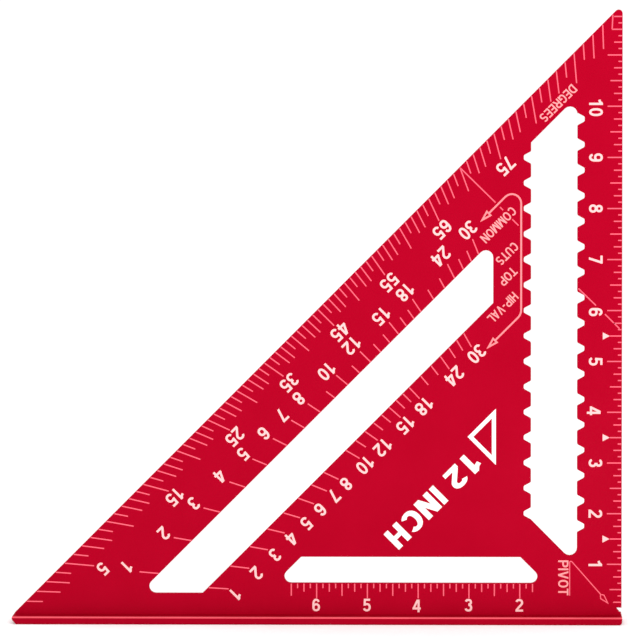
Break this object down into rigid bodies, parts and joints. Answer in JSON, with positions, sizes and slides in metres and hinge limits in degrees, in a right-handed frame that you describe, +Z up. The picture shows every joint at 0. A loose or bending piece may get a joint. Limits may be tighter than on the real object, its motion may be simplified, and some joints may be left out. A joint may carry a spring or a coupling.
{
  "type": "speed square",
  "caption": "Right-angled triangular layout square on a T-section guide fence, with scribing slots and angle and rafter scales.",
  "frame": {"origin": "centre of the fence's underside, with the square standing on its fence", "axes": "+X along the fence towards the pivot corner and the upright rule edge, +Y through the blade's thickness to its back face, +Z up the rule edge to the tip"},
  "size_m": [0.3046, 0.025, 0.3058],
  "materials": {
    "red_aluminium": "satin red anodised aluminium"
  },
  "bodies": {
    "root": {"blade": "red_aluminium", "fence": "red_aluminium"}
  },
  "joints": []
}
